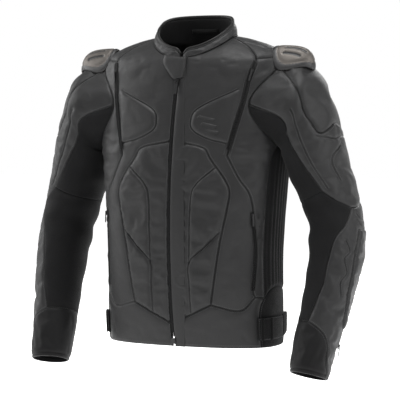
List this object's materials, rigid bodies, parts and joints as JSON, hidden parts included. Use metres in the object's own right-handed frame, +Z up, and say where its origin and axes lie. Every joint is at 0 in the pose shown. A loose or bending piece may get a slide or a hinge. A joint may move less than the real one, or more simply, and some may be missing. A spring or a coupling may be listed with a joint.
{
  "type": "leather riding jacket",
  "caption": "Leather motorcycle jacket with stand collar, front zip, shoulder caps, stretch panels, vent and pocket zips, waist straps and pre-bent sleeves.",
  "frame": {"origin": "centre of the neck opening, level with the collar seam at the shoulders", "axes": "+Z up along the body, -Y the way the wearer faces, +X to the wearer's left"},
  "size_m": [0.7124, 0.2664, 0.7237],
  "materials": {
    "leather": "satin",
    "cuff_leather": "satin",
    "stretch": "matte",
    "lining": "matte",
    "binding": "satin",
    "zip_tape": "matte",
    "zip_metal": "satin",
    "cap": "satin",
    "pad": "matte",
    "strap": "matte",
    "webbing": "matte"
  },
  "bodies": {
    "jacket": {"abdomen_panel_left": "leather", "abdomen_panel_right": "leather", "back_pad": "pad", "back_panel_lower": "leather", "back_panel_upper": "leather", "back_yoke": "leather", "chest_panel_left": "leather", "chest_panel_right": "leather", "collar_binding": "binding", "collar_lining": "lining", "collar_outer": "leather", "front_yoke_left": "leather", "front_yoke_right": "leather", "hanger_loop": "webbing", "hem_back": "leather", "hem_front_left": "leather", "hem_front_right": "leather", "main_zip_box": "zip_metal", "main_zip_left": "zip_tape", "main_zip_right": "zip_tape", "pocket_bag_left": "lining", "pocket_bag_right": "lining", "pocket_zip_left": "zip_tape", "pocket_zip_right": "zip_tape", "rear_connection_zip": "zip_tape", "shoulder_cap_left": "cap", "shoulder_cap_right": "cap", "side_front_left": "leather", "side_front_right": "leather", "side_stretch_left": "stretch", "side_stretch_right": "stretch", "vent_zip_left": "zip_tape", "vent_zip_right": "zip_tape", "zip_garage": "leather"},
    "forearm_left": {"cuff_left": "cuff_leather", "cuff_zip_left": "zip_tape", "elbow_armour_left": "pad", "forearm_leather_left": "leather", "forearm_stretch_left": "stretch"},
    "forearm_right": {"cuff_right": "cuff_leather", "cuff_zip_right": "zip_tape", "elbow_armour_right": "pad", "forearm_leather_right": "leather", "forearm_stretch_right": "stretch"},
    "cuff_slider_left": {"cuff_slider_left": "zip_metal"},
    "cuff_slider_right": {"cuff_slider_right": "zip_metal"},
    "upper_sleeve_left": {"elbow_gusset_left": "stretch", "upper_sleeve_leather_left": "leather", "upper_sleeve_stretch_left": "stretch"},
    "upper_sleeve_right": {"elbow_gusset_right": "stretch", "upper_sleeve_leather_right": "leather", "upper_sleeve_stretch_right": "stretch"},
    "main_zip_pull": {"main_zip_pull": "zip_metal"},
    "main_zip_slider": {"main_zip_slider": "zip_metal"},
    "pocket_slider_left": {"pocket_slider_left": "zip_metal"},
    "pocket_slider_right": {"pocket_slider_right": "zip_metal"},
    "vent_slider_left": {"vent_slider_left": "zip_metal"},
    "vent_slider_right": {"vent_slider_right": "zip_metal"},
    "waist_strap_left": {"waist_strap_left": "strap"},
    "waist_strap_right": {"waist_strap_right": "strap"}
  },
  "joints": [
    {"name": "shoulder_left_lift", "type": "hinge", "parent": "jacket", "child": "upper_sleeve_left", "pos_m": [0.202, 0.005, -0.085], "axis": [0, -1, 0], "range_deg": [0, 20]},
    {"name": "elbow_left_bend", "type": "hinge", "parent": "upper_sleeve_left", "child": "forearm_left", "pos_m": [0.303, 0.014, -0.385], "axis": [-1, 0, 0], "range_deg": [0, 50]},
    {"name": "waist_strap_left_peel", "type": "hinge", "parent": "jacket", "child": "waist_strap_left", "pos_m": [0.18531, 0.01913, -0.586], "axis": [0, 0, 1], "range_deg": [0, 60]},
    {"name": "shoulder_right_lift", "type": "hinge", "parent": "jacket", "child": "upper_sleeve_right", "pos_m": [-0.202, 0.005, -0.085], "axis": [0, 1, 0], "range_deg": [0, 20]},
    {"name": "elbow_right_bend", "type": "hinge", "parent": "upper_sleeve_right", "child": "forearm_right", "pos_m": [-0.303, 0.014, -0.385], "axis": [-1, 0, 0], "range_deg": [0, 50]},
    {"name": "waist_strap_right_peel", "type": "hinge", "parent": "jacket", "child": "waist_strap_right", "pos_m": [-0.18531, 0.01913, -0.586], "axis": [0, 0, -1], "range_deg": [0, 60]},
    {"name": "main_zip_travel", "type": "hinge", "parent": "jacket", "child": "main_zip_slider", "pos_m": [0, 0.977, -0.39], "axis": [1, 0, 0], "range_deg": [0, 26.41]},
    {"name": "vent_left_zip_travel", "type": "hinge", "parent": "jacket", "child": "vent_slider_left", "pos_m": [-0.24724, 1.03414, -0.35866], "axis": [0.9235, 0.2654, -0.2771], "range_deg": [0, 7.4]},
    {"name": "vent_right_zip_travel", "type": "hinge", "parent": "jacket", "child": "vent_slider_right", "pos_m": [0.24724, 1.03414, -0.35866], "axis": [0.9235, -0.2654, 0.2771], "range_deg": [0, 7.4]},
    {"name": "pocket_left_zip_travel", "type": "hinge", "parent": "jacket", "child": "pocket_slider_left", "pos_m": [-0.96992, 0.94568, -0.3872], "axis": [0.6703, 0.7414, 0.0311], "range_deg": [0, 5.27]},
    {"name": "pocket_right_zip_travel", "type": "hinge", "parent": "jacket", "child": "pocket_slider_right", "pos_m": [0.96992, 0.94568, -0.3872], "axis": [0.6703, -0.7414, -0.0311], "range_deg": [0, 5.27]},
    {"name": "cuff_left_zip_travel", "type": "hinge", "parent": "forearm_left", "child": "cuff_slider_left", "pos_m": [0.01266, -0.19346, -0.53691], "axis": [-0.4627, 0.826, -0.322], "range_deg": [0, 7.32]},
    {"name": "cuff_right_zip_travel", "type": "hinge", "parent": "forearm_right", "child": "cuff_slider_right", "pos_m": [-0.01266, -0.19346, -0.53691], "axis": [-0.4627, -0.826, 0.322], "range_deg": [0, 7.32]},
    {"name": "main_zip_pull_flip", "type": "hinge", "parent": "main_zip_slider", "child": "main_zip_pull", "pos_m": [0, -0.08906, -0.09323], "axis": [-1, 0, 0], "range_deg": [0, 32]}
  ]
}
